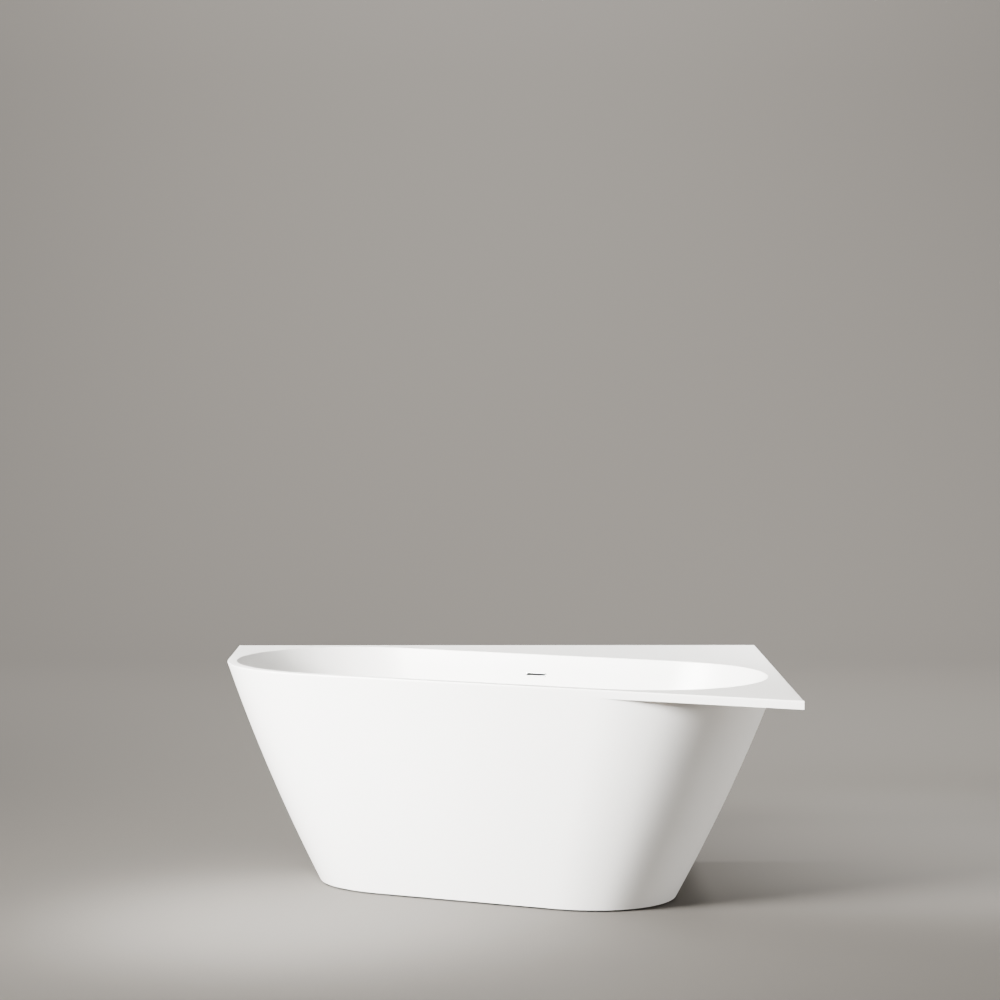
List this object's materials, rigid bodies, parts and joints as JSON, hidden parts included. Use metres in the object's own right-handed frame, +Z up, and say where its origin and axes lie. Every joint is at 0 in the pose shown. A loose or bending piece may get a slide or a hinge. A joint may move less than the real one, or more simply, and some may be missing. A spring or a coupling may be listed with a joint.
{
  "type": "corner bathtub",
  "caption": "Corner bathtub with a thin angular deck, a slanted oval basin, a tapered outer skin, a flush pop-up waste, a slot overflow and levelling feet.",
  "frame": {"origin": "on the floor, below the middle of the deck's bounding rectangle", "axes": "+X along the back wall to the right, +Y towards the back wall, +Z up"},
  "size_m": [1.5, 1.1898, 0.5951],
  "materials": {
    "white_acrylic": "satin",
    "board": "pressed board",
    "zinc_steel": "zinc plated",
    "black_plastic": "moulded",
    "white_cover": "satin",
    "chrome_trim": "polished",
    "brass_body": "turned",
    "rubber_seal": "soft",
    "white_plastic": "moulded",
    "grey_hose": "corrugated"
  },
  "bodies": {
    "tub": {"bath": "white_acrylic", "outer_skin": "white_acrylic", "deck_board": "board", "floor_board": "board", "rail_left": "zinc_steel", "rail_right": "zinc_steel", "board_screws": "zinc_steel", "bracket_bolts": "zinc_steel", "skin_brackets": "zinc_steel", "flange_screws": "zinc_steel", "foot_nuts": "zinc_steel", "chamber_screws": "zinc_steel", "hose_clamps": "zinc_steel", "click_spring": "zinc_steel", "waste_flange": "chrome_trim", "slot_liner": "chrome_trim", "waste_cartridge": "brass_body", "waste_upper_gasket": "rubber_seal", "waste_lower_gasket": "rubber_seal", "trap_seal": "rubber_seal", "trap_cup_seal": "rubber_seal", "outlet_seal": "rubber_seal", "overflow_gasket": "rubber_seal", "waste_body": "white_plastic", "trap_body": "white_plastic", "trap_nut": "white_plastic", "trap_cup": "white_plastic", "outlet_nut": "white_plastic", "outlet_pipe": "white_plastic", "overflow_chamber": "white_plastic", "overflow_hose": "grey_hose"},
    "pop_up_cover": {"waste_cover": "white_cover", "cover_seal": "rubber_seal", "lift_stem": "zinc_steel"},
    "foot_1": {"foot_1_pad": "black_plastic"},
    "foot_1_screw": {"foot_1_rod": "zinc_steel"},
    "foot_2": {"foot_2_pad": "black_plastic"},
    "foot_2_screw": {"foot_2_rod": "zinc_steel"},
    "foot_3": {"foot_3_pad": "black_plastic"},
    "foot_3_screw": {"foot_3_rod": "zinc_steel"},
    "foot_4": {"foot_4_pad": "black_plastic"},
    "foot_4_screw": {"foot_4_rod": "zinc_steel"}
  },
  "joints": [
    {"name": "cover_lift", "type": "slide", "parent": "tub", "child": "pop_up_cover", "axis": [0, 0, 1], "range_m": [0, 0.009], "deforming": ["click_spring"]},
    {"name": "foot_1_travel", "type": "slide", "parent": "tub", "child": "foot_1", "axis": [0, 0, 1], "range_m": [-0.02, 0.004]},
    {"name": "foot_1_turn", "type": "hinge", "parent": "foot_1", "child": "foot_1_screw", "pos_m": [-0.29922, 0.02768, 0.06], "axis": [0, 0, 1], "range_deg": [-4120, 830]},
    {"name": "foot_2_travel", "type": "slide", "parent": "tub", "child": "foot_2", "axis": [0, 0, 1], "range_m": [-0.02, 0.004]},
    {"name": "foot_2_turn", "type": "hinge", "parent": "foot_2", "child": "foot_2_screw", "pos_m": [-0.17817, 0.31849, 0.06], "axis": [0, 0, 1], "range_deg": [-4120, 830]},
    {"name": "foot_3_travel", "type": "slide", "parent": "tub", "child": "foot_3", "axis": [0, 0, 1], "range_m": [-0.02, 0.004]},
    {"name": "foot_3_turn", "type": "hinge", "parent": "foot_3", "child": "foot_3_screw", "pos_m": [0.16238, -0.16447, 0.06], "axis": [0, 0, 1], "range_deg": [-4120, 830]},
    {"name": "foot_4_travel", "type": "slide", "parent": "tub", "child": "foot_4", "axis": [0, 0, 1], "range_m": [-0.02, 0.004]},
    {"name": "foot_4_turn", "type": "hinge", "parent": "foot_4", "child": "foot_4_screw", "pos_m": [0.28344, 0.12634, 0.06], "axis": [0, 0, 1], "range_deg": [-4120, 830]}
  ],
  "couplings": [
    {"joint": "foot_1_turn", "follows": "foot_1_travel", "rad_per_m": 3590.4},
    {"joint": "foot_2_turn", "follows": "foot_2_travel", "rad_per_m": 3590.4},
    {"joint": "foot_3_turn", "follows": "foot_3_travel", "rad_per_m": 3590.4},
    {"joint": "foot_4_turn", "follows": "foot_4_travel", "rad_per_m": 3590.4}
  ]
}
